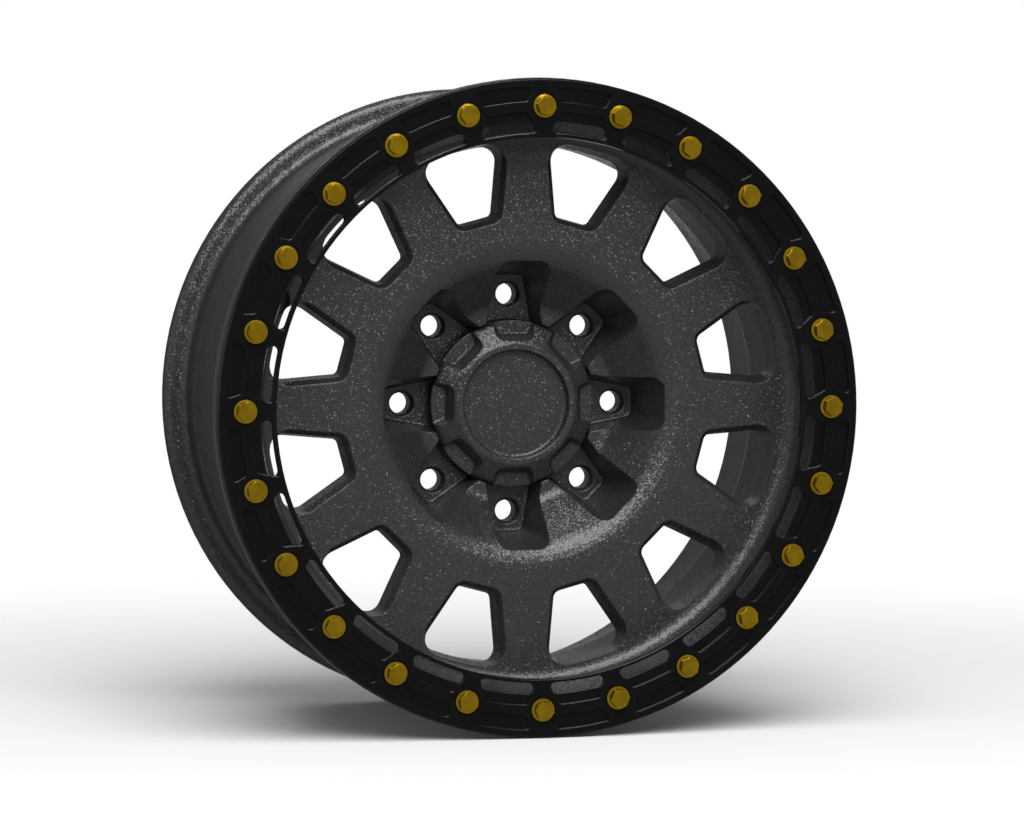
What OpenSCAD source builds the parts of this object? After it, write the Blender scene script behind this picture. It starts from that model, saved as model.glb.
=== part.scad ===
// Cast 18 x 9 truck wheel with a bolted-on trim ring that imitates a beadlock.
// The wheel is drawn lying face up, with its mounting face on the XY plane and
// the spin axis on Z, and is then stood upright so that its face looks along -Y.

/* [Rim] */
// Distance between the two bead flanges
rim_width = 228.6; // [215:0.1:240]
// Distance of the mounting face outboard of the middle of the rim
rim_offset = 0; // [-4:0.5:4]
// Diameter at the bead seats
seat_d = 462; // [456:0.5:468]
// Height of the bead flanges above the seats
flange_h = 18.9; // [17:0.1:19.5]
// Radius of the rolled inner edge of a bead flange
flange_curl_r = 7; // [6:0.5:8]
// Thickness of the rear bead flange
flange_t = 12.5; // [11:0.5:14]
// Fillet between a bead seat and its flange
seat_fillet = 6.5; // [5:0.5:8]
// Length of a bead seat from its flange to the hump
seat_len = 20; // [18:0.5:24]
// Slope of the bead seats
seat_slope = 5; // [4:0.5:6]
// Height of the safety humps
hump_h = 0.9; // [0.5:0.1:1.5]
// Diameter of the drop well
well_d = 422; // [418:1:426]
// Thickness of the barrel wall
barrel_t = 7; // [6:0.5:9]
// Thickness of the outboard flange that carries the ring
lip_t = 16.7; // [15:0.1:20]

/* [Face] */
// Height of the spoke face above the mounting face
face_z = 87; // [82:0.5:92]
// Thickness of the spokes
spoke_t = 20; // [15:0.5:24]
// Draft of the wall between the spoke face and the ring
lip_draft = 16.5; // [14:0.5:19]
// Number of windows between the spokes
window_count = 12; // [8:1:12]
// Radius of the inner edge of the windows
window_in_r = 141.6; // [136:0.5:150]
// Half width of a window at its inner edge, before rounding
window_half_w = 17.5; // [14:0.1:19]
// Slope of the window sides away from the radius
window_flare = 19.9; // [17:0.1:20.5]
// Rim of face left outside the windows
window_rim = 1.1; // [0.8:0.1:4]
// Corner radius of a window near the rim
window_out_fillet = 16; // [12:0.5:18]
// Corner radius of a window near the hub
window_in_fillet = 10; // [8:0.5:12]
// Width of the bevel round a window
window_bevel_w = 3.6; // [2:0.1:4.4]
// Depth of the bevel round a window
window_bevel_h = 5; // [3:0.1:7]
// Taper of the window walls from the bevel to the back
window_taper = 2; // [1:0.1:2.4]

/* [Hub] */
// Diameter of the centre bore
hub_bore_d = 125.1; // [123:0.1:127]
// Length of the centre bore that pilots the wheel
pilot_len = 9; // [7:0.5:11]
// Number of wheel studs
lug_count = 8; // [6:1:8]
// Diameter of the stud circle
lug_circle_d = 170; // [166:0.5:174]
// Diameter of a stud hole
lug_hole_d = 16.4; // [15:0.1:18]
// Depth of the cone that a nut seats in
lug_cone_h = 3.6; // [2.5:0.1:4.5]
// Half angle of the nut seat
lug_cone_angle = 30; // [25:1:45]
// Width of the relief behind a stud hole
stud_relief_d = 22; // [20:0.5:26]
// Depth of the relief behind a stud hole
stud_relief_h = 3.5; // [2:0.5:6]
// Height of the nut pads above the mounting face
pad_z = 24; // [21:0.5:27]
// Depth of the counterbore over a nut seat
lug_spot_h = 2.4; // [1.6:0.1:4]
// Distance from a stud to the outer wall of its pocket
pocket_reach = 15.5; // [14:0.1:17]
// Half width of a pocket beside its stud
pocket_half_w = 14.3; // [13:0.1:15]
// Corner radius of a pocket at its floor
pocket_corner_r = 5.5; // [4:0.5:8]
// Fillet round the floor of a pocket
pocket_fillet = 1.8; // [1:0.1:3]
// Draft of the pocket walls
pocket_draft = 10.3; // [8:0.1:11]
// Spread of the pocket sides towards the hub
pocket_flare = 10.2; // [8:0.1:11]
// Radius of the mounting face
mount_face_r = 112; // [108:0.5:118]
// Height of the floor between the pockets
bowl_floor_z = 46; // [42:0.5:50]
// Radius where the floor turns up into the bowl
bowl_floor_r = 77; // [74:0.5:80]
// Slope of the bowl
bowl_slope = 48; // [45:1:52]
// Width of the weight-saving pockets behind the hub
core_w = 15; // [11:0.5:17]
// Depth of the weight-saving pockets behind the hub
core_h = 30; // [20:1:34]
// Radius of the soft edge where the face rolls into the bowl
bowl_roll = 26; // [12:1:28]
// Fillet between the bowl and its floor
bowl_fillet = 12; // [7:0.5:13]
// Height of the ledge that the cap stands on
ledge_z = 18; // [16:0.5:21]
// Thickness of the ledge that the cap's clips hook under
ledge_t = 4; // [3:0.1:5]

/* [Valve] */
// Diameter of the valve hole
valve_d = 11.5; // [8.3:0.1:12]
// Diameter of the pocket round the valve hole
valve_pocket_d = 21; // [18:0.5:23]
// Tilt of the valve hole away from the spin axis
valve_tilt = 23; // [20:1:26]
// Angle of the valve hole round the wheel
valve_angle = 157.4; // [150:0.1:165]

/* [Ring] */
// Thickness of the ring
ring_t = 8; // [7:0.1:10]
// Width of the ring from its inner to its outer edge
ring_w = 44.2; // [43:0.1:46]
// Step between the edge of the rim and the edge of the ring
ring_step = 0.9; // [0.5:0.1:2.5]
// Thickness of the ring's inner edge
ring_web_t = 5.5; // [4.5:0.1:6.5]
// Depth of the relief pockets in the ring
relief_h = 3; // [2:0.1:3.6]
// Corner radius of the relief pockets
relief_fillet = 3; // [2:0.1:3.4]
// Land outside the outer pockets
outer_land = 5.4; // [4:0.1:7]
// Land inside the inner pockets
inner_land = 2.8; // [2:0.1:4]
// Land between a row of pockets and the bolt circle
bolt_land = 3.4; // [2.6:0.1:4.5]
// Length of the long side of a pocket
relief_long = 45.6; // [40:0.2:47]
// Length of the short side of an outer pocket
relief_short = 35; // [30:0.2:36]
// Length of the short side of an inner pocket
inner_relief_short = 33.2; // [28:0.2:34]
// Width of the slots through the inner pockets
slot_w = 8.7; // [6:0.1:9.5]
// Length of the slots through the inner pockets
slot_len = 42; // [34:0.2:43]

/* [Ring bolts] */
// Number of bolts round the ring
bolt_count = 24; // [20:1:24]
// Distance from the edge of the ring to the bolt circle
bolt_edge = 20.75; // [20:0.05:22]
// Thread diameter of a bolt
bolt_d = 8; // [6:0.1:8.4]
// Length of a bolt below its flange
bolt_len = 20; // [16:0.5:20.5]
// Width across the flats of a bolt head
bolt_flats = 13; // [10:0.1:13.4]
// Height of a bolt head with its flange
bolt_head_h = 8.6; // [6.5:0.1:9.5]
// Diameter of a bolt flange
bolt_flange_d = 17.6; // [17:0.1:18.2]
// Thickness of the edge of a bolt flange
bolt_flange_t = 1.3; // [1:0.1:1.8]
// Turn of the bolt heads against the radius
bolt_turn = 21; // [0:1:59]

/* [Centre cap] */
// Diameter of the raised front of the cap
cap_front_d = 94; // [90:0.5:98]
// Height of the cap front above the mounting face
cap_front_z = 54.6; // [52:0.1:58]
// Diameter of the recess in the cap front
cap_recess_d = 84.6; // [80:0.2:86]
// Depth of the recess in the cap front
cap_recess_h = 7.6; // [5:0.1:9]
// Slope of the cap's sides
cap_slope = 31; // [27:0.5:33]
// Radius of the shoulder round the cap's rim
cap_shoulder_r = 6.5; // [4:0.5:7]
// Height of the floor of the nut notches
notch_z = 40; // [38:0.5:41]
// Radius of the inner end of the nut notches
notch_r = 54; // [53:0.1:55.5]
// Width of the inner end of a nut notch at its floor
notch_w = 23.2; // [20:0.2:25]
// Spread of the sides of a nut notch
notch_flare = 22; // [18:0.5:25]
// Draft of the walls of a nut notch
notch_draft = 20; // [15:0.5:22]
// Fillet round the floor of a nut notch
notch_fillet = 2; // [1:0.1:2.5]
// Wall thickness of the cap
cap_wall = 3; // [2.4:0.1:3.6]
// Width of a clip leg
leg_w = 12; // [9:0.5:15]
// Thickness of a clip leg
leg_t = 3; // [2.4:0.1:3.4]
// Wire diameter of the spring ring in the clip legs
wire_d = 2.4; // [2:0.1:2.8]

/* [Clearances] */
// Radial gap between the cap and its seat in the wheel
cap_clear = 0.5; // [0.3:0.1:0.8]
// Gap between the clip legs and the ledge that they pass
leg_clear = 0.5; // [0.3:0.1:0.8]
// Diametral gap of a bolt in its tapped hole
thread_clear = 0.1; // [0.05:0.05:0.2]
// Diametral gap of a bolt in the ring
bolt_clear = 1; // [0.6:0.1:1.4]
// Diametral gap between a bolt flange and its spot face
spot_clear = 2.2; // [1.6:0.1:2.6]
// Free depth under the end of a bolt
thread_run_out = 1.2; // [0.8:0.1:1.6]

/* [Hidden] */
$fn = 96;
eps = 0.01;
over = 2;

// Rim sections, measured from the mounting face
rim_mid_z = -rim_offset;
rear_z = rim_mid_z - rim_width / 2;
front_z = rim_mid_z + rim_width / 2;
seat_r = seat_d / 2;
crest_r = seat_r + flange_h;
well_r = well_d / 2;
seat_end_r = seat_r - (seat_len - seat_fillet) * tan(seat_slope);
lip_z = front_z + lip_t;

// Ring and bolt circle, measured from the edge of the rim
ring_r = crest_r - ring_step;
ring_in_r = ring_r - ring_w;
ring_z = lip_z + ring_t;
bolt_circle_r = ring_r - bolt_edge;
spot_r = (bolt_flange_d + spot_clear) / 2;
spot_h = 1.2;
bolt_seat_z = ring_z - spot_h;
bolt_hole_z = bolt_seat_z - bolt_len - thread_run_out;

// Face and bowl
lip_in_r = bolt_circle_r - bolt_d / 2 - 6.75;
face_r = lip_in_r - (lip_z - face_z) * tan(lip_draft);
window_out_r = face_r - window_rim;
spoke_back_z = face_z - spoke_t;
bowl_r = bowl_floor_r + (face_z - bowl_floor_z) / tan(bowl_slope);
well_in_r = well_r - barrel_t;

// Hub
lug_r = lug_circle_d / 2;
hub_bore_r = hub_bore_d / 2;
cap_bore_r = hub_bore_r + 2.75;
ledge_r = hub_bore_r - 2.55;
groove_r = hub_bore_r + 1.45;

// Cap
cap_r = cap_bore_r - cap_clear;
cap_edge_z = cap_front_z - (cap_r - cap_front_d / 2) * tan(cap_slope);
leg_out_r = ledge_r - leg_clear;
leg_in_r = leg_out_r - leg_t;
hook_z = ledge_z - ledge_t - leg_clear;
hook_h = 3.4;
hook_r = leg_out_r + 1.9;
skirt_r = ledge_r + 2.4;
skirt_t = 2.4;
wire_z = ledge_z - ledge_t / 2;

// Points along an arc, both ends included
function arc(c, r, a0, a1, n) = [for (i = [0:n]) let (a = a0 + (a1 - a0) * i / n)
    c + r * [cos(a), sin(a)]];

// Rounding of one corner p between its neighbours a and b
function corner(a, p, b, r, n) = let (
    u = (a - p) / norm(a - p),
    v = (b - p) / norm(b - p),
    half = acos(u * v) / 2,
    m = (u + v) / norm(u + v),
    c = p + m * r / sin(half),
    s = p + u * r / tan(half) - c,
    e = p + v * r / tan(half) - c,
    a0 = atan2(s[1], s[0]),
    turn = atan2(s[0] * e[1] - s[1] * e[0], s * e))
    arc(c, r, a0, a0 + turn, n);

// Closed outline of corners, each with its own radius
function rounded(pts, radii, n) = let (k = len(pts)) [for (i = [0:k - 1])
    each corner(pts[(i + k - 1) % k], pts[i], pts[(i + 1) % k], radii[i], n)];

// Extra points along the straight runs between the rounded corners
function subdivided(pts, step) = let (k = len(pts)) [for (i = [0:k - 1]) let (
    a = pts[i],
    b = pts[(i + 1) % k],
    m = max(1, ceil(norm(b - a) / step)))
    for (j = [0:m - 1]) a + (b - a) * j / m];

// Bends an outline so that lines of equal Y become arcs round the spin axis
function bent(pts) = [for (p = pts) [p[0], sqrt(p[1] * p[1] - p[0] * p[0])]];

// Four corners of a sector-shaped opening, wide edge outside
function keystone(r0, r1, w0, w1) = [[-w0, r0], [w0, r0], [w1, r1], [-w1, r1]];

// The same opening with every edge moved inwards by d
function inset_keystone(r0, r1, w0, w1, d) = let (
    k = (w1 - w0) / (r1 - r0),
    side = d * sqrt(1 + k * k))
    keystone(r0 + d, r1 - d, w0 + k * d - side, w1 - k * d - side);

// Solid through a stack of outlines with equal numbers of points, lowest outline first
module loft(outlines, heights) {
    n = len(outlines[0]);
    m = len(outlines);
    points = [for (j = [0:m - 1]) for (p = outlines[j]) [p[0], p[1], heights[j]]];
    sides = [for (j = [0:m - 2]) for (i = [0:n - 1]) let (k = (i + 1) % n)
        [j * n + i, (j + 1) * n + i, (j + 1) * n + k, j * n + k]];
    bottom = [for (i = [0:n - 1]) i];
    top = [for (i = [n - 1:-1:0]) (m - 1) * n + i];
    polyhedron(points = points, faces = concat([bottom], sides, [top]), convexity = 4);
}

// Copies children round the spin axis, the first at the given angle from +X.
// A stride of 2 makes every other copy, from the given first one.
module around(count, start = 0, stride = 1, first = 0) {
    for (i = [first:stride:count - 1]) rotate([0, 0, start + i * 360 / count - 90]) children();
}

// Stands the wheel up with its face towards -Y
module upright() {
    rotate([90, 0, 0]) children();
}

// Section of the casting from the rear flange over the tyre side to the ring seat
function tyre_side() = concat(
    [[crest_r - 20.7, rear_z - 8], [crest_r - 15.2, rear_z - flange_t]],
    arc([crest_r - (flange_t - flange_curl_r), rear_z - flange_curl_r],
        flange_t - flange_curl_r, -90, 0, 4),
    arc([crest_r - flange_curl_r, rear_z - flange_curl_r], flange_curl_r, 18, 90, 4),
    arc([seat_r + seat_fillet, rear_z + seat_fillet], seat_fillet, 270, 180, 5),
    [[seat_end_r, rear_z + seat_len],
     [seat_end_r + hump_h, rear_z + seat_len + 3],
     [seat_end_r + hump_h, rear_z + seat_len + 6],
     [seat_end_r - 0.8, rear_z + seat_len + 13],
     [seat_end_r - 6.8, rim_mid_z - 14],
     [seat_end_r - 8.2, rim_mid_z - 7],
     [well_r + 1.6, rim_mid_z + 9],
     [well_r, rim_mid_z + 15],
     [well_r, front_z - 39],
     [well_r + 1.2, front_z - 36.4],
     [seat_end_r - 1.6, front_z - seat_len - 7.6],
     [seat_end_r + hump_h, front_z - seat_len - 5],
     [seat_end_r + hump_h, front_z - seat_len - 2.5],
     [seat_end_r, front_z - seat_len]],
    arc([seat_r + seat_fillet, front_z - seat_fillet], seat_fillet, 180, 90, 5),
    arc([crest_r - flange_curl_r, front_z + flange_curl_r], flange_curl_r, -90, 0, 5),
    [[crest_r, lip_z - 1], [crest_r - 1, lip_z]]);

// Section of the front, from the ring seat over the face and the bowl to the bore
function front_side() = concat(
    [[lip_in_r + 0.8, lip_z], [lip_in_r, lip_z - 0.8], [face_r + 1, face_z + 3.4], [face_r - 1, face_z]],
    corner([face_r, face_z], [bowl_r, face_z], [bowl_floor_r, bowl_floor_z], bowl_roll, 5),
    corner([bowl_r, face_z], [bowl_floor_r, bowl_floor_z], [cap_bore_r, bowl_floor_z], bowl_fillet, 5),
    [[cap_bore_r + 0.8, bowl_floor_z], [cap_bore_r, bowl_floor_z - 0.8], [cap_bore_r, ledge_z],
     [ledge_r, ledge_z], [ledge_r, ledge_z - ledge_t], [groove_r, ledge_z - ledge_t],
     [groove_r, pilot_len], [hub_bore_r, pilot_len], [hub_bore_r, 1.5], [hub_bore_r + 1.5, 0]]);

// Section of the back, from the mounting face to the inside of the barrel
function back_side() = concat(
    [[mount_face_r - 2, 0], [mount_face_r, 2]],
    corner([mount_face_r, 2], [mount_face_r + 9, spoke_back_z], [well_in_r, spoke_back_z], 8, 4),
    corner([mount_face_r + 9, spoke_back_z], [well_in_r, spoke_back_z], [well_in_r, rim_mid_z], 7, 4),
    [[well_in_r, rim_mid_z + 12],
     [well_in_r + 1.6, rim_mid_z + 6],
     [seat_end_r - 8.8 - barrel_t, rim_mid_z - 11],
     [seat_end_r - 6.8 - barrel_t, rim_mid_z - 18],
     [seat_end_r - 0.6 - barrel_t, rear_z + seat_len + 8],
     [seat_end_r - barrel_t + 0.6, rear_z + 10],
     [crest_r - 23.4, rear_z + 2],
     [crest_r - 21.4, rear_z - 4.4]]);

// Right half of a window outline: the inner edge is straight, the outer edge is an arc round the
// spin axis, and both corners are rounded. The outer edge is moved inwards by e, the rest by d.
function window_half(d, e) = let (
    a = window_flare,
    side = window_in_r * sin(a) - window_half_w * cos(a),
    out_r = window_out_r - e,
    in_fillet = window_in_fillet - d,
    out_fillet = window_out_fillet - d,
    in_y = window_in_r + window_in_fillet,
    in_x = (in_y * sin(a) - side - window_in_fillet) / cos(a),
    turn = a - asin((side + window_out_fillet) / (out_r - out_fillet)),
    out_c = (out_r - out_fillet) * [sin(turn), cos(turn)])
    concat(
        arc([in_x, in_y], in_fillet, -90, -a, 6),
        arc(out_c, out_fillet, -a, 90 - turn, 8),
        [for (i = [1:2]) out_r * [sin(turn * (1 - i / 3)), cos(turn * (1 - i / 3))]],
        [[0, out_r]]);

// Whole window outline
function window_outline(d, e) = let (h = window_half(d, e), n = len(h))
    concat(h, [for (i = [n - 2:-1:0]) [-h[i][0], h[i][1]]]);

// One window through the spoke plate, with its bevel and its tapered wall. The bevel runs out
// at the outer edge, against the wall below the ring.
module window_cut() {
    back = window_bevel_w + window_taper;
    low = [back, window_taper + 0.4];
    insets = [low, low, [window_bevel_w, 0.4], [-0.2 * window_bevel_w, 0]];
    heights = [spoke_back_z - over, spoke_back_z, face_z - window_bevel_h, face_z + 1];
    loft([for (d = insets) window_outline(d[0], d[1])], heights);
}

// Outward offset and height of the steps of a drafted pocket wall above a filleted floor
function pocket_steps(draft, fillet, rise) = concat(
    [for (a = [-90, -65, -40, -draft]) [
        fillet * (cos(a) - (1 - sin(draft)) / cos(draft)), fillet * (1 + sin(a))]],
    [[rise * tan(draft), rise]]);

// Drafted pocket over one stud, open towards the bore
module lug_pocket_cut() {
    low_r = ledge_r - 4;
    out_r = lug_r + pocket_reach;
    k = tan(pocket_flare);
    w0 = pocket_half_w + k * (lug_r - low_r);
    w1 = pocket_half_w - k * pocket_reach;
    steps = pocket_steps(pocket_draft, pocket_fillet, face_z + over - pad_z);
    loft([for (s = steps) let (q = pocket_corner_r + 0.55 * s[0])
        rounded(inset_keystone(low_r, out_r, w0, w1, -s[0]), [0.1, 0.1, q, q], 5)],
        [for (s = steps) pad_z + s[1]]);
}

// Stud hole with the nut seat in front and the relief behind
module lug_hole_cut() {
    seat_top_r = lug_hole_d / 2 + lug_cone_h * tan(lug_cone_angle);
    spot_z = pad_z - lug_spot_h;
    translate([0, lug_r, -over]) cylinder(d = lug_hole_d, h = pad_z + 2 * over);
    translate([0, lug_r, -over]) cylinder(d = stud_relief_d, h = stud_relief_h + over);
    translate([0, lug_r, spot_z - lug_cone_h]) cylinder(r1 = lug_hole_d / 2, r2 = seat_top_r, h = lug_cone_h);
    translate([0, lug_r, spot_z - eps]) cylinder(r = seat_top_r, h = pad_z - spot_z + over);
}

// Weight-saving pocket behind the hub, between two studs
module core_cut() {
    reach = 7;
    translate([0, 0, -over]) linear_extrude(core_h + over) {
        translate([0, lug_r + 5 - reach]) circle(d = core_w);
        translate([0, lug_r + 5 + reach]) circle(d = core_w);
        translate([-core_w / 2, lug_r + 5 - reach]) square([core_w, 2 * reach]);
    }
}

// Pocket and hole for the valve, leaning outwards to the drop well
module valve_cut() {
    translate([0, face_r + 7.5, face_z]) rotate([valve_tilt, 0, 0]) {
        translate([0, 0, -2.6]) cylinder(d = valve_pocket_d, h = 34);
        translate([0, 0, -26]) cylinder(d = valve_d, h = 30);
    }
}

module bolt_hole_cut() {
    translate([0, bolt_circle_r, bolt_hole_z]) cylinder(d = bolt_d + thread_clear, h = lip_z - bolt_hole_z + over);
}

module wheel_casting() {
    color("dimgray") upright() difference() {
        rotate_extrude($fn = 180) polygon(concat(tyre_side(), front_side(), back_side()));
        around(window_count, 180 / window_count) window_cut();
        around(lug_count, stride = 2) lug_pocket_cut();
        around(lug_count, stride = 2, first = 1) lug_pocket_cut();
        around(lug_count) lug_hole_cut();
        around(lug_count, 180 / lug_count) core_cut();
        around(1, valve_angle) valve_cut();
        around(bolt_count) bolt_hole_cut();
    }
}

// Outline of a relief pocket or slot of the ring between radii r0 and r1
module ring_outline(r0, r1, l0, l1, fillet) {
    polygon(bent(subdivided(rounded(keystone(r0, r1, l0 / 2, l1 / 2), [fillet, fillet, fillet, fillet], 4), 9)));
}

module ring_relief_cut() {
    inner_r0 = ring_in_r + inner_land;
    outer_r1 = ring_r - outer_land;
    inner_r1 = bolt_circle_r - bolt_land;
    outer_r0 = bolt_circle_r + bolt_land;
    translate([0, 0, ring_z - relief_h]) linear_extrude(relief_h + over) {
        ring_outline(outer_r0, outer_r1, relief_short, relief_long, relief_fillet);
        ring_outline(inner_r0, inner_r1, relief_long, inner_relief_short, relief_fillet);
    }
    translate([0, 0, lip_z - over]) linear_extrude(ring_t + over)
        ring_outline(inner_r0 + 0.5, inner_r0 + 0.5 + slot_w, slot_len, slot_len, slot_w / 2 - 0.05);
}

module beadlock_ring() {
    step_r = lip_in_r + 1.2;
    web_z = ring_z - ring_web_t;
    color("black") upright() difference() {
        rotate_extrude($fn = 180) polygon([
            [ring_in_r, web_z], [step_r, web_z], [step_r, lip_z], [ring_r - 0.6, lip_z], [ring_r, lip_z + 0.6],
            [ring_r, ring_z - 1], [ring_r - 1, ring_z], [ring_in_r + 0.8, ring_z], [ring_in_r, ring_z - 0.8]]);
        around(bolt_count, 180 / bolt_count) ring_relief_cut();
        around(bolt_count) translate([0, bolt_circle_r, 0]) {
            translate([0, 0, lip_z - over]) cylinder(d = bolt_d + bolt_clear, h = ring_t + 2 * over);
            translate([0, 0, bolt_seat_z]) cylinder(r = spot_r, h = spot_h + over);
        }
    }
}

// One flange bolt standing on its seat, threads left plain
module flange_bolt() {
    corner_r = bolt_flats / sqrt(3);
    cone_h = 1.4;
    chamfer_h = 0.9;
    cylinder(d = bolt_flange_d, h = bolt_flange_t);
    translate([0, 0, bolt_flange_t]) cylinder(d1 = bolt_flange_d, d2 = bolt_flats + 1.6, h = cone_h);
    rotate([0, 0, bolt_turn]) intersection() {
        rotate([0, 0, 30]) cylinder(r = corner_r, h = bolt_head_h, $fn = 6);
        union() {
            cylinder(r = corner_r + 1, h = bolt_head_h - chamfer_h);
            translate([0, 0, bolt_head_h - chamfer_h])
                cylinder(r1 = corner_r + 0.5, r2 = bolt_flats / 2 - 0.5, h = chamfer_h);
        }
    }
    translate([0, 0, -bolt_len + 1]) cylinder(d = bolt_d, h = bolt_len);
    translate([0, 0, -bolt_len]) cylinder(d1 = bolt_d - 2, d2 = bolt_d, h = 1);
}

module ring_bolts() {
    color("goldenrod") upright()
        around(bolt_count) translate([0, bolt_circle_r, bolt_seat_z]) flange_bolt($fn = 48);
}

// Keystone notch that gives a socket room over its nut
module cap_notch_cut() {
    reach = cap_r + 6 - notch_r;
    w0 = notch_w / 2;
    steps = pocket_steps(notch_draft, notch_fillet, cap_front_z + over - notch_z);
    loft([for (s = steps) let (q = 3.2 + 0.8 * s[0])
        rounded(inset_keystone(notch_r, notch_r + reach, w0, w0 + tan(notch_flare) * reach, -s[0]),
            [q, q, 0.1, 0.1], 4)],
        [for (s = steps) notch_z + s[1]]);
}

// Clip leg that springs past the ledge and hooks under it
module cap_leg() {
    intersection() {
        rotate_extrude() polygon([
            [leg_in_r, notch_z - cap_wall], [leg_in_r, hook_z - hook_h], [leg_out_r - 0.4, hook_z - hook_h],
            [hook_r, hook_z - 0.8], [hook_r, hook_z], [leg_out_r, hook_z], [leg_out_r, notch_z - cap_wall]]);
        translate([-leg_w / 2, 0, 0]) cube([leg_w, cap_r, cap_front_z]);
    }
}

module centre_cap() {
    recess_z = cap_front_z - cap_recess_h;
    recess_r = cap_recess_d / 2;
    front_r = cap_front_d / 2;
    roof_z = notch_z - cap_wall;
    color("dimgray") upright() difference() {
        union() {
            difference() {
                rotate_extrude($fn = 128) polygon(concat(
                    [[0, recess_z]],
                    corner([0, recess_z], [recess_r - 0.8, recess_z], [recess_r, cap_front_z], 2.4, 4),
                    [[recess_r, cap_front_z - 0.4], [recess_r + 0.4, cap_front_z], [front_r - 0.4, cap_front_z],
                     [front_r + 0.4, cap_front_z - 0.4 * tan(cap_slope)]],
                    corner([front_r, cap_front_z], [cap_r, cap_edge_z], [cap_r, 0], cap_shoulder_r, 5),
                    [[cap_r, roof_z], [skirt_r, roof_z],
                     [skirt_r, ledge_z], [skirt_r - skirt_t, ledge_z],
                     [skirt_r - skirt_t, roof_z - 0.1], [recess_r + cap_wall, roof_z - 0.1],
                     [recess_r + cap_wall, recess_z - cap_wall], [0, recess_z - cap_wall]]));
                around(lug_count) cap_notch_cut();
            }
            around(lug_count, 180 / lug_count) cap_leg();
        }
        translate([0, 0, wire_z]) rotate_extrude()
            translate([leg_in_r - wire_d / 4, 0]) circle(d = wire_d + 0.1, $fn = 24);
    }
}

module cap_spring_ring() {
    color("silver") upright() translate([0, 0, wire_z])
        rotate_extrude() translate([leg_in_r - wire_d / 4, 0]) circle(d = wire_d, $fn = 24);
}

wheel_casting();
beadlock_ring();
ring_bolts();
centre_cap();
cap_spring_ring();
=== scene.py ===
"""A cast truck wheel with a bolted trim ring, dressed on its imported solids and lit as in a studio."""

import math

import bpy
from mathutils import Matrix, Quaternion, Vector

bl_info = {
    "name": "Simulated beadlock wheel",
    "version": (1, 0, 0),
    "blender": (4, 5, 0),
    "location": "View3D > Sidebar > Wheel",
    "description": "Finishes the solids of a truck wheel with a bolted trim ring",
    "category": "Object",
}

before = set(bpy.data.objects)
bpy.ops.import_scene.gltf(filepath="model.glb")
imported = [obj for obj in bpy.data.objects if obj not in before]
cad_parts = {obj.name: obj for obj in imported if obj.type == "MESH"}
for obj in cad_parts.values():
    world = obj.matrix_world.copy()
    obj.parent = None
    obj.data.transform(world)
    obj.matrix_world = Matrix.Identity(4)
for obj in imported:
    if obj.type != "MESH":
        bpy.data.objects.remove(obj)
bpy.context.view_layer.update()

# The wheel's axis runs along Y, and its visible face looks outboard.
OUTBOARD = (0.0, -1.0, 0.0)
ACROSS_AXIS = (1.0, 0.0, 1.0)

# Draft of the wall between the spoke face and the ring
LIP_DRAFT = math.radians(16.5)

# Edges sharper than this stay creased.
CREASE = math.radians(28)
WIRE_CREASE = math.radians(40)

# Direction of the camera from the wheel
CAMERA_AZIMUTH = math.radians(-14.063)
CAMERA_ELEVATION = math.radians(2.741)


def size_setting(name, default, description):
    """A length in metres."""
    return bpy.props.FloatProperty(
        name=name, default=default, unit="LENGTH", precision=5, description=description)


def colour_setting(name, default, description):
    """A colour in linear light."""
    return bpy.props.FloatVectorProperty(
        name=name, default=default, subtype="COLOR", size=3, min=0.0, max=1.0, description=description)


class WheelSizes(bpy.types.PropertyGroup):
    """Sizes that the finishes and the stage take from the wheel."""

    crest_radius: size_setting(
        "Flange crest", 0.2499, "Radius of the crest of the rim flanges, which stand on the floor")
    front: size_setting(
        "Ring front", 0.1419, "Depth of the ring's front before the mounting face, where the camera aims")
    face: size_setting(
        "Spoke face", 0.087, "Depth of the spoke face before the mounting face")
    lip_root: size_setting(
        "Lip root", 0.2045, "Radius at which the lip meets the spoke face")
    edge: size_setting(
        "Cast edges", 0.0016, "Rounding of the edges of the casting and the cap")
    ring_edge: size_setting(
        "Ring edges", 0.0004, "Rounding of the machined edges of the ring")
    bolt_edge: size_setting(
        "Bolt edges", 0.0002, "Rounding of the edges of the bolts")


class WheelColours(bpy.types.PropertyGroup):
    """Colours of the finishes and of the floor."""

    coat: colour_setting(
        "Powder coat", (0.025, 0.025, 0.0254), "Anthracite coat of the casting and the cap")
    flake: colour_setting(
        "Flakes", (0.035, 0.035, 0.035), "Lighter grains in the coat")
    ring: colour_setting(
        "Ring paint", (0.0029, 0.0029, 0.003), "Satin black paint of the ring")
    glint: colour_setting(
        "Broken edges", (0.08, 0.08, 0.08), "Shine of the broken edges of the ring")
    plate: colour_setting(
        "Gold plate", (0.55, 0.345, 0.018), "Zinc plate of the bolts")
    wire: colour_setting(
        "Spring wire", (0.55, 0.55, 0.55), "Drawn wire of the cap's spring ring")
    floor: colour_setting(
        "Floor", (0.92, 0.92, 0.92), "Floor under the wheel")


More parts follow.
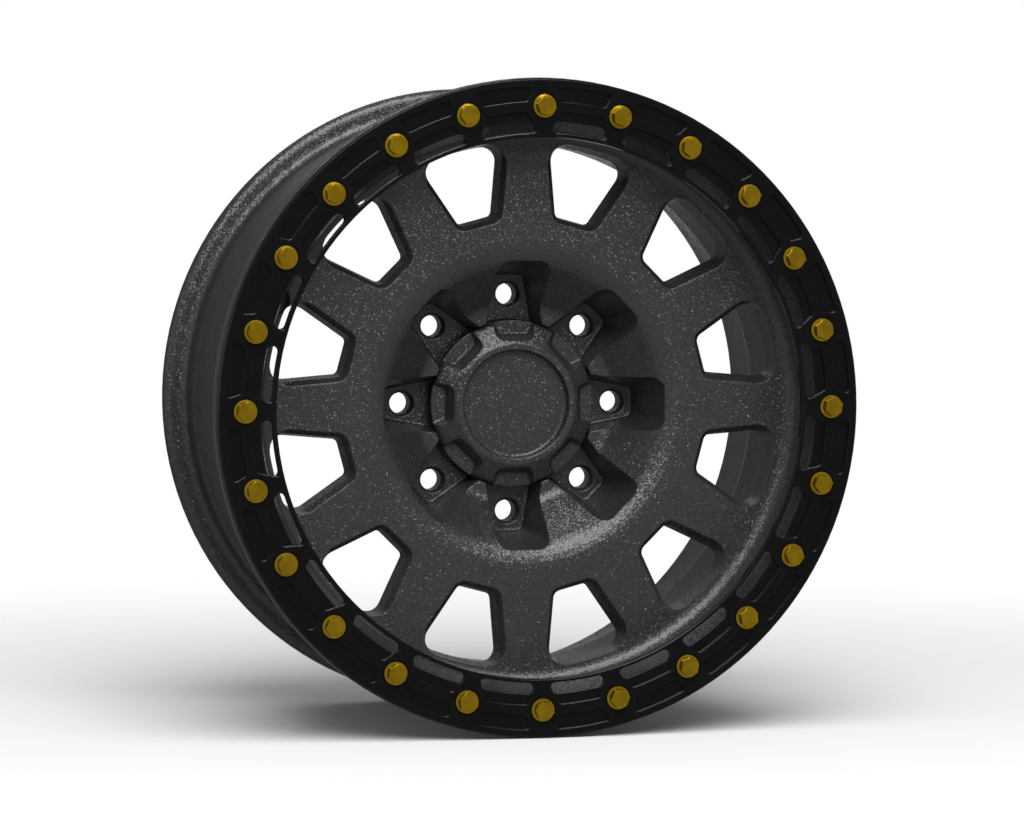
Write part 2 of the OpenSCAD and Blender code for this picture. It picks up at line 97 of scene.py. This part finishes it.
class Value:
    """A shader socket that takes part in sums."""

    def __init__(self, graph, socket):
        self.graph = graph
        self.socket = socket

    def math(self, operation, *others):
        """A math operation on this value and the others."""
        node = self.graph.make("ShaderNodeMath", {"operation": operation})
        for socket, value in zip(node.inputs, (self,) + others):
            self.graph.feed(socket, value)
        return Value(self.graph, node.outputs[0])

    def vector(self, operation, *others, **named):
        """A vector operation, with its scale by name where it has one."""
        node = self.graph.make("ShaderNodeVectorMath", {"operation": operation}, named)
        for socket, value in zip(node.inputs, (self,) + others):
            self.graph.feed(socket, value)
        output = "Value" if operation in ("LENGTH", "DOT_PRODUCT") else "Vector"
        return Value(self.graph, node.outputs[output])

    def __add__(self, other):
        return self.math("ADD", other)

    __radd__ = __add__

    def __mul__(self, other):
        return self.math("MULTIPLY", other)

    __rmul__ = __mul__

    def __sub__(self, other):
        return self.math("SUBTRACT", other)

    def __rsub__(self, other):
        return (self * -1.0) + other

    def step(self, low, high):
        """0 below low, 1 above high, smooth between."""
        node = self.graph.make(
            "ShaderNodeMapRange", {"interpolation_type": "SMOOTHSTEP"},
            {"Value": self, "From Min": low, "From Max": high})
        return Value(self.graph, node.outputs["Result"])

    def toward(self, other, factor):
        """This vector where the factor is 0, the other one where it is 1."""
        return self.vector("ADD", other.vector("SUBTRACT", self).vector("SCALE", Scale=factor))


class Graph:
    """The nodes of a material or a world, started empty."""

    def __init__(self, owner):
        owner.use_nodes = True
        self.tree = owner.node_tree
        self.tree.nodes.clear()

    def feed(self, socket, value):
        """Links a value to a socket, or sets the socket where the value is a constant."""
        if isinstance(value, Value):
            self.tree.links.new(value.socket, socket)
        elif isinstance(value, bpy.types.NodeSocket):
            self.tree.links.new(value, socket)
        else:
            socket.default_value = value

    def make(self, kind, settings=None, inputs=None):
        """One node of a kind, with its settings and its inputs."""
        node = self.tree.nodes.new(kind)
        for name, value in (settings or {}).items():
            setattr(node, name, value)
        for name, value in (inputs or {}).items():
            self.feed(node.inputs[name], value)
        return node

    def value(self, kind, output, settings=None, inputs=None):
        """One output of a new node."""
        return Value(self, self.make(kind, settings, inputs).outputs[output])

    def place(self):
        """The place on the surface, in metres of the frame."""
        return self.value("ShaderNodeTexCoord", "Object")

    def noise(self, place, scale, detail=2.0):
        """Noise from 0 to 1 with so many features to the metre."""
        return self.value(
            "ShaderNodeTexNoise", "Fac", None,
            {"Vector": place, "Scale": scale, "Detail": detail, "Roughness": 0.6})

    def mix(self, factor, a, b):
        """Colour a where the factor is 0, b where it is 1."""
        node = self.make("ShaderNodeMix", {"data_type": "RGBA"})
        for socket, value in zip((node.inputs[0], node.inputs[6], node.inputs[7]), (factor, a, b)):
            self.feed(socket, value)
        return Value(self, node.outputs[2])

    def rounded(self, radius):
        """The surface normal with its edges rounded."""
        return self.value("ShaderNodeBevel", "Normal", {"samples": 6}, {"Radius": radius})

    def bump(self, height, strength, distance, normal):
        """A normal with fine relief on it."""
        return self.value(
            "ShaderNodeBump", "Normal", None,
            {"Height": height, "Strength": strength, "Distance": distance, "Normal": normal})

    def surface(self, shader, output="ShaderNodeOutputMaterial"):
        """Ends the graph in a shader."""
        self.feed(self.make(output).inputs["Surface"], shader.outputs[0])


def rgba(colour, gain=1.0):
    """A colour times a gain, with full alpha."""
    return tuple(c * gain for c in colour) + (1.0,)


def lip_fillet(g, place, sizes):
    """The rounded root of the lip, a sharp corner in the solid: its normal, and a mask that is 1 there."""
    turn_start = -0.008
    turn_end = 0.038
    margin = 0.001
    wall_slack = 0.002
    face_slack = -0.0003
    across = place.vector("MULTIPLY", ACROSS_AXIS)
    outward = across.vector("LENGTH") - sizes.lip_root
    height = g.value("ShaderNodeSeparateXYZ", "Y", None, {"Vector": place}) * -1.0 - sizes.face
    # Way over the face and up the wall, with 0 at their corner
    along = outward + height
    # From the normal of the face to the normal of the wall, which looks at the axis and outboard
    change = across.vector("NORMALIZE").vector("SCALE", Scale=-math.cos(LIP_DRAFT))
    change = change.vector("ADD", (0.0, 1.0 - math.sin(LIP_DRAFT), 0.0))
    change = change.vector("SCALE", Scale=along.step(turn_start, turn_end))
    normal = change.vector("ADD", OUTBOARD).vector("NORMALIZE")
    above_face = height.math("GREATER_THAN", face_slack)
    below_end = along.math("LESS_THAN", turn_end + margin)
    past_start = outward.math("GREATER_THAN", turn_start - margin)
    inside_wall = (outward - height * math.tan(LIP_DRAFT)).math("LESS_THAN", wall_slack)
    return normal, above_face * below_end * past_start * inside_wall


def powder_coat(name, colours, sizes):
    """Anthracite powder coat: fine grains, each tilted its own way, some of them steeply."""
    grains_per_metre = 1400.0
    clouds_per_metre = 16.0
    reshuffle = 7.3
    usual_lean = 0.34
    steep_lean = 0.38
    material = bpy.data.materials.new(name)
    g = Graph(material)
    place = g.place()
    chance = g.value(
        "ShaderNodeTexVoronoi", "Color", {"feature": "F1"},
        {"Vector": place, "Scale": grains_per_metre})
    draw = g.value("ShaderNodeSeparateColor", "Red", None, {"Color": chance})
    steep = (draw * reshuffle).math("FRACT").step(0.55, 1.0)
    clouds = g.noise(place, clouds_per_metre).step(0.3, 0.7)
    tone = g.mix(clouds, rgba(colours.coat, 0.94), rgba(colours.coat, 1.06))
    tone = g.mix(steep, tone, rgba(colours.flake))
    fillet, at_fillet = lip_fillet(g, place, sizes)
    rounded = g.rounded(sizes.edge).toward(fillet, at_fillet)
    lean = chance.vector("SUBTRACT", (0.5, 0.5, 0.5))
    lean = lean.vector("SCALE", Scale=usual_lean + steep * steep_lean)
    normal = rounded.vector("ADD", lean).vector("NORMALIZE")
    shader = g.make("ShaderNodeBsdfPrincipled", None, {
        "Base Color": tone, "Roughness": 0.25, "Normal": normal, "Specular IOR Level": 0.75})
    g.surface(shader)
    return material


def satin_paint(name, colours, edge):
    """Satin black paint over a machined ring, with a glint on its broken edges."""
    peel_per_metre = 700.0
    waves_per_metre = 60.0
    relief = 0.0001
    material = bpy.data.materials.new(name)
    g = Graph(material)
    place = g.place()
    peel = g.noise(place, peel_per_metre)
    wave = g.noise(place, waves_per_metre)
    rounded = g.rounded(edge)
    normal = g.bump(peel, 0.2, relief, rounded)
    # 1 where the rounding turns the normal away from the flat face
    flat = g.value("ShaderNodeTexCoord", "Normal")
    broken = (1.0 - rounded.vector("DOT_PRODUCT", flat)).step(0.01, 0.06)
    tone = g.mix(wave.step(0.35, 0.65), rgba(colours.ring, 0.9), rgba(colours.ring, 1.15))
    tone = g.mix(broken, tone, rgba(colours.glint))
    shader = g.make("ShaderNodeBsdfPrincipled", None, {
        "Base Color": tone, "Metallic": broken, "Roughness": 0.17 + wave * 0.06,
        "Normal": normal, "Specular IOR Level": 0.18})
    g.surface(shader)
    return material


def gold_plate(name, colours, edge):
    """Gold zinc plate on the bolts, even on the fronts of the heads, with painted shade on their sides."""
    grains_per_metre = 1500.0
    clouds_per_metre = 90.0
    relief = 0.00008
    painted_side_shade_gain = 0.14
    tilt_kept = 0.25
    material = bpy.data.materials.new(name)
    g = Graph(material)
    place = g.place()
    grain = g.noise(place, grains_per_metre)
    clouds = g.noise(place, clouds_per_metre).step(0.3, 0.7)
    facing = g.value("ShaderNodeTexCoord", "Normal")
    front = facing.vector("DOT_PRODUCT", OUTBOARD).step(0.2, 0.5)
    tone = g.mix(clouds, rgba(colours.plate, 0.85), rgba(colours.plate, 1.1))
    # Painted shade: faces that point sideways get the plate's colour at a low gain, darker than the plate
    # is.
    tone = g.mix(front, rgba(colours.plate, painted_side_shade_gain), tone)
    # On the fronts the cone of the flange keeps only a part of its tilt.
    level = facing.vector("SCALE", Scale=tilt_kept).vector("ADD", OUTBOARD)
    rounded = g.rounded(edge).toward(level, front).vector("NORMALIZE")
    normal = g.bump(grain, 0.2, relief, rounded)
    shader = g.make("ShaderNodeBsdfPrincipled", None, {
        "Base Color": tone, "Metallic": 1.0, "Roughness": 0.16 + grain * 0.08, "Normal": normal})
    g.surface(shader)
    return material


def spring_steel(name, colours):
    """Bright drawn wire."""
    marks_per_metre = 2500.0
    material = bpy.data.materials.new(name)
    g = Graph(material)
    drawn = g.noise(g.place(), marks_per_metre, 3.0)
    tone = g.mix(drawn, rgba(colours.wire, 0.8), rgba(colours.wire, 1.1))
    shader = g.make("ShaderNodeBsdfPrincipled", None, {
        "Base Color": tone, "Metallic": 1.0, "Roughness": 0.22 + drawn * 0.15})
    g.surface(shader)
    return material


def dress(name, material, crease=CREASE):
    """Gives a CAD node its finish and smooth shading between its creases."""
    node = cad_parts[name]
    for face in node.data.polygons:
        face.use_smooth = True
    node.data.set_sharp_from_angle(angle=crease)
    node.data.materials.clear()
    node.data.materials.append(material)


class WHEEL_OT_casting(bpy.types.Operator):
    """Finish the cast wheel"""

    bl_idname = "wheel.casting"
    bl_label = "Casting"

    def execute(self, context):
        scene = context.scene
        dress("wheel_casting", powder_coat("casting_coat", scene.wheel_colours, scene.wheel_sizes))
        return {"FINISHED"}


class WHEEL_OT_ring(bpy.types.Operator):
    """Finish the trim ring"""

    bl_idname = "wheel.ring"
    bl_label = "Ring"

    def execute(self, context):
        scene = context.scene
        dress("beadlock_ring", satin_paint("ring_coat", scene.wheel_colours, scene.wheel_sizes.ring_edge))
        return {"FINISHED"}


class WHEEL_OT_bolts(bpy.types.Operator):
    """Finish the ring bolts"""

    bl_idname = "wheel.bolts"
    bl_label = "Ring bolts"

    def execute(self, context):
        scene = context.scene
        dress("ring_bolts", gold_plate("bolt_plate", scene.wheel_colours, scene.wheel_sizes.bolt_edge))
        return {"FINISHED"}


class WHEEL_OT_cap(bpy.types.Operator):
    """Finish the centre cap and its spring ring"""

    bl_idname = "wheel.cap"
    bl_label = "Centre cap"

    def execute(self, context):
        scene = context.scene
        dress("centre_cap", powder_coat("cap_coat", scene.wheel_colours, scene.wheel_sizes))
        dress("cap_spring_ring", spring_steel("spring_wire", scene.wheel_colours), WIRE_CREASE)
        return {"FINISHED"}


def lamp(name, size, place, radiance):
    """A soft box of one radiance, aimed at the wheel's centre and hidden from the camera."""
    data = bpy.data.lights.new(name, "AREA")
    data.shape = "RECTANGLE"
    data.size, data.size_y = size
    data.energy = radiance * math.pi * size[0] * size[1]
    box = bpy.data.objects.new(name, data)
    bpy.context.scene.collection.objects.link(box)
    box.visible_camera = False
    box.location = place
    box.rotation_mode = "QUATERNION"
    box.rotation_quaternion = (-Vector(place)).to_track_quat("-Z", "Y")


def camera_direction():
    """The direction from the wheel to the camera."""
    level = math.cos(CAMERA_ELEVATION)
    return Vector((
        math.sin(CAMERA_AZIMUTH) * level, -math.cos(CAMERA_AZIMUTH) * level, math.sin(CAMERA_ELEVATION)))


def studio_world():
    """White to the camera and in reflections straight behind the wheel, a dim room otherwise."""
    room = 0.235
    glossy_room = 0.14
    glossy_front = 0.16
    glossy_backdrop = 0.90
    world = bpy.data.worlds.new("studio")
    bpy.context.scene.world = world
    g = Graph(world)
    path = g.make("ShaderNodeLightPath")
    seen = Value(g, path.outputs["Is Camera Ray"])
    glossy = Value(g, path.outputs["Is Glossy Ray"])
    through = Value(g, path.outputs["Is Transmission Ray"])
    way = g.value("ShaderNodeTexCoord", "Generated")
    backdrop = way.vector("DOT_PRODUCT", -camera_direction()).step(0.985, 0.995)
    front = way.vector("DOT_PRODUCT", OUTBOARD).step(-0.2, 0.6)
    mirrored = glossy_room + front * glossy_front + backdrop * glossy_backdrop
    unseen = 1.0 - seen - through
    level = seen + through + unseen * (glossy * mirrored + (1.0 - glossy) * room)
    background = g.make(
        "ShaderNodeBackground", None, {"Color": (1.0, 1.0, 1.0, 1.0), "Strength": level})
    g.surface(background, "ShaderNodeOutputWorld")


def studio_floor(radius, colour):
    """A pale floor under the wheel that fades out around it and isn't mirrored in the coat."""
    side = 9.0
    fade_start = 0.25
    fade_end = 1.3
    mesh = bpy.data.meshes.new("floor")
    mesh.from_pydata(
        [(-side, -side, -radius), (side, -side, -radius), (side, side, -radius), (-side, side, -radius)],
        [], [(0, 1, 2, 3)])
    floor = bpy.data.objects.new("floor", mesh)
    bpy.context.scene.collection.objects.link(floor)
    material = bpy.data.materials.new("floor")
    g = Graph(material)
    away = g.place().vector("LENGTH")
    pale = g.make("ShaderNodeBsdfDiffuse", None, {"Color": rgba(colour)})
    clear = g.make("ShaderNodeBsdfTransparent")
    shader = g.make("ShaderNodeMixShader", None, {"Fac": away.step(fade_start, fade_end)})
    g.feed(shader.inputs[1], pale.outputs[0])
    g.feed(shader.inputs[2], clear.outputs[0])
    g.surface(shader)
    mesh.materials.append(material)
    floor.visible_glossy = False


def photo_camera(front):
    """The camera of the photograph, with its lens and sensor in millimetres and its place in metres."""
    lens = 136.78
    sensor = 36.0
    distance = 2.9337
    left = 0.02487
    down = 0.00516
    roll = math.radians(0.155)
    back = camera_direction()
    turn = (-back).to_track_quat("-Z", "Y")
    right, up = turn @ Vector((1, 0, 0)), turn @ Vector((0, 1, 0))
    data = bpy.data.cameras.new("camera")
    data.lens = lens
    data.sensor_width = sensor
    camera = bpy.data.objects.new("camera", data)
    bpy.context.scene.collection.objects.link(camera)
    camera.location = Vector((0, -front, 0)) + back * distance - right * left - up * down
    camera.rotation_mode = "QUATERNION"
    camera.rotation_quaternion = turn @ Quaternion((0, 0, 1), roll)
    bpy.context.scene.camera = camera


class WHEEL_OT_stage(bpy.types.Operator):
    """Build the floor, the lights and the camera"""

    bl_idname = "wheel.stage"
    bl_label = "Stage"

    def execute(self, context):
        scene = context.scene
        studio_world()
        studio_floor(scene.wheel_sizes.crest_radius, scene.wheel_colours.floor)
        lamp("key", size=(2.0, 2.6), place=(-0.2, -1.55, 1.95), radiance=5.0)
        lamp("back", size=(2.0, 0.8), place=(0.25, 1.9, 1.55), radiance=0.8)
        lamp("side", size=(0.5, 1.0), place=(-2.35, -0.5, 0.35), radiance=1.5)
        photo_camera(scene.wheel_sizes.front)
        scene.view_settings.view_transform = "Standard"
        return {"FINISHED"}


class WHEEL_PT_panel(bpy.types.Panel):
    """The wheel's settings and pieces in the sidebar"""

    bl_label = "Wheel"
    bl_idname = "WHEEL_PT_panel"
    bl_space_type = "VIEW_3D"
    bl_region_type = "UI"
    bl_category = "Wheel"

    def draw(self, context):
        for group in (context.scene.wheel_sizes, context.scene.wheel_colours):
            for name in type(group).__annotations__:
                self.layout.prop(group, name)
        for operator in OPERATORS:
            self.layout.operator(operator.bl_idname)


OPERATORS = (WHEEL_OT_casting, WHEEL_OT_ring, WHEEL_OT_bolts, WHEEL_OT_cap, WHEEL_OT_stage)
CLASSES = (WheelSizes, WheelColours) + OPERATORS + (WHEEL_PT_panel,)


def register():
    for cls in CLASSES:
        bpy.utils.register_class(cls)
    bpy.types.Scene.wheel_sizes = bpy.props.PointerProperty(type=WheelSizes)
    bpy.types.Scene.wheel_colours = bpy.props.PointerProperty(type=WheelColours)


def unregister():
    del bpy.types.Scene.wheel_colours
    del bpy.types.Scene.wheel_sizes
    for cls in reversed(CLASSES):
        bpy.utils.unregister_class(cls)


def main():
    register()
    bpy.ops.wheel.casting()
    bpy.ops.wheel.ring()
    bpy.ops.wheel.bolts()
    bpy.ops.wheel.cap()
    bpy.ops.wheel.stage()


if __name__ == "__main__":
    main()
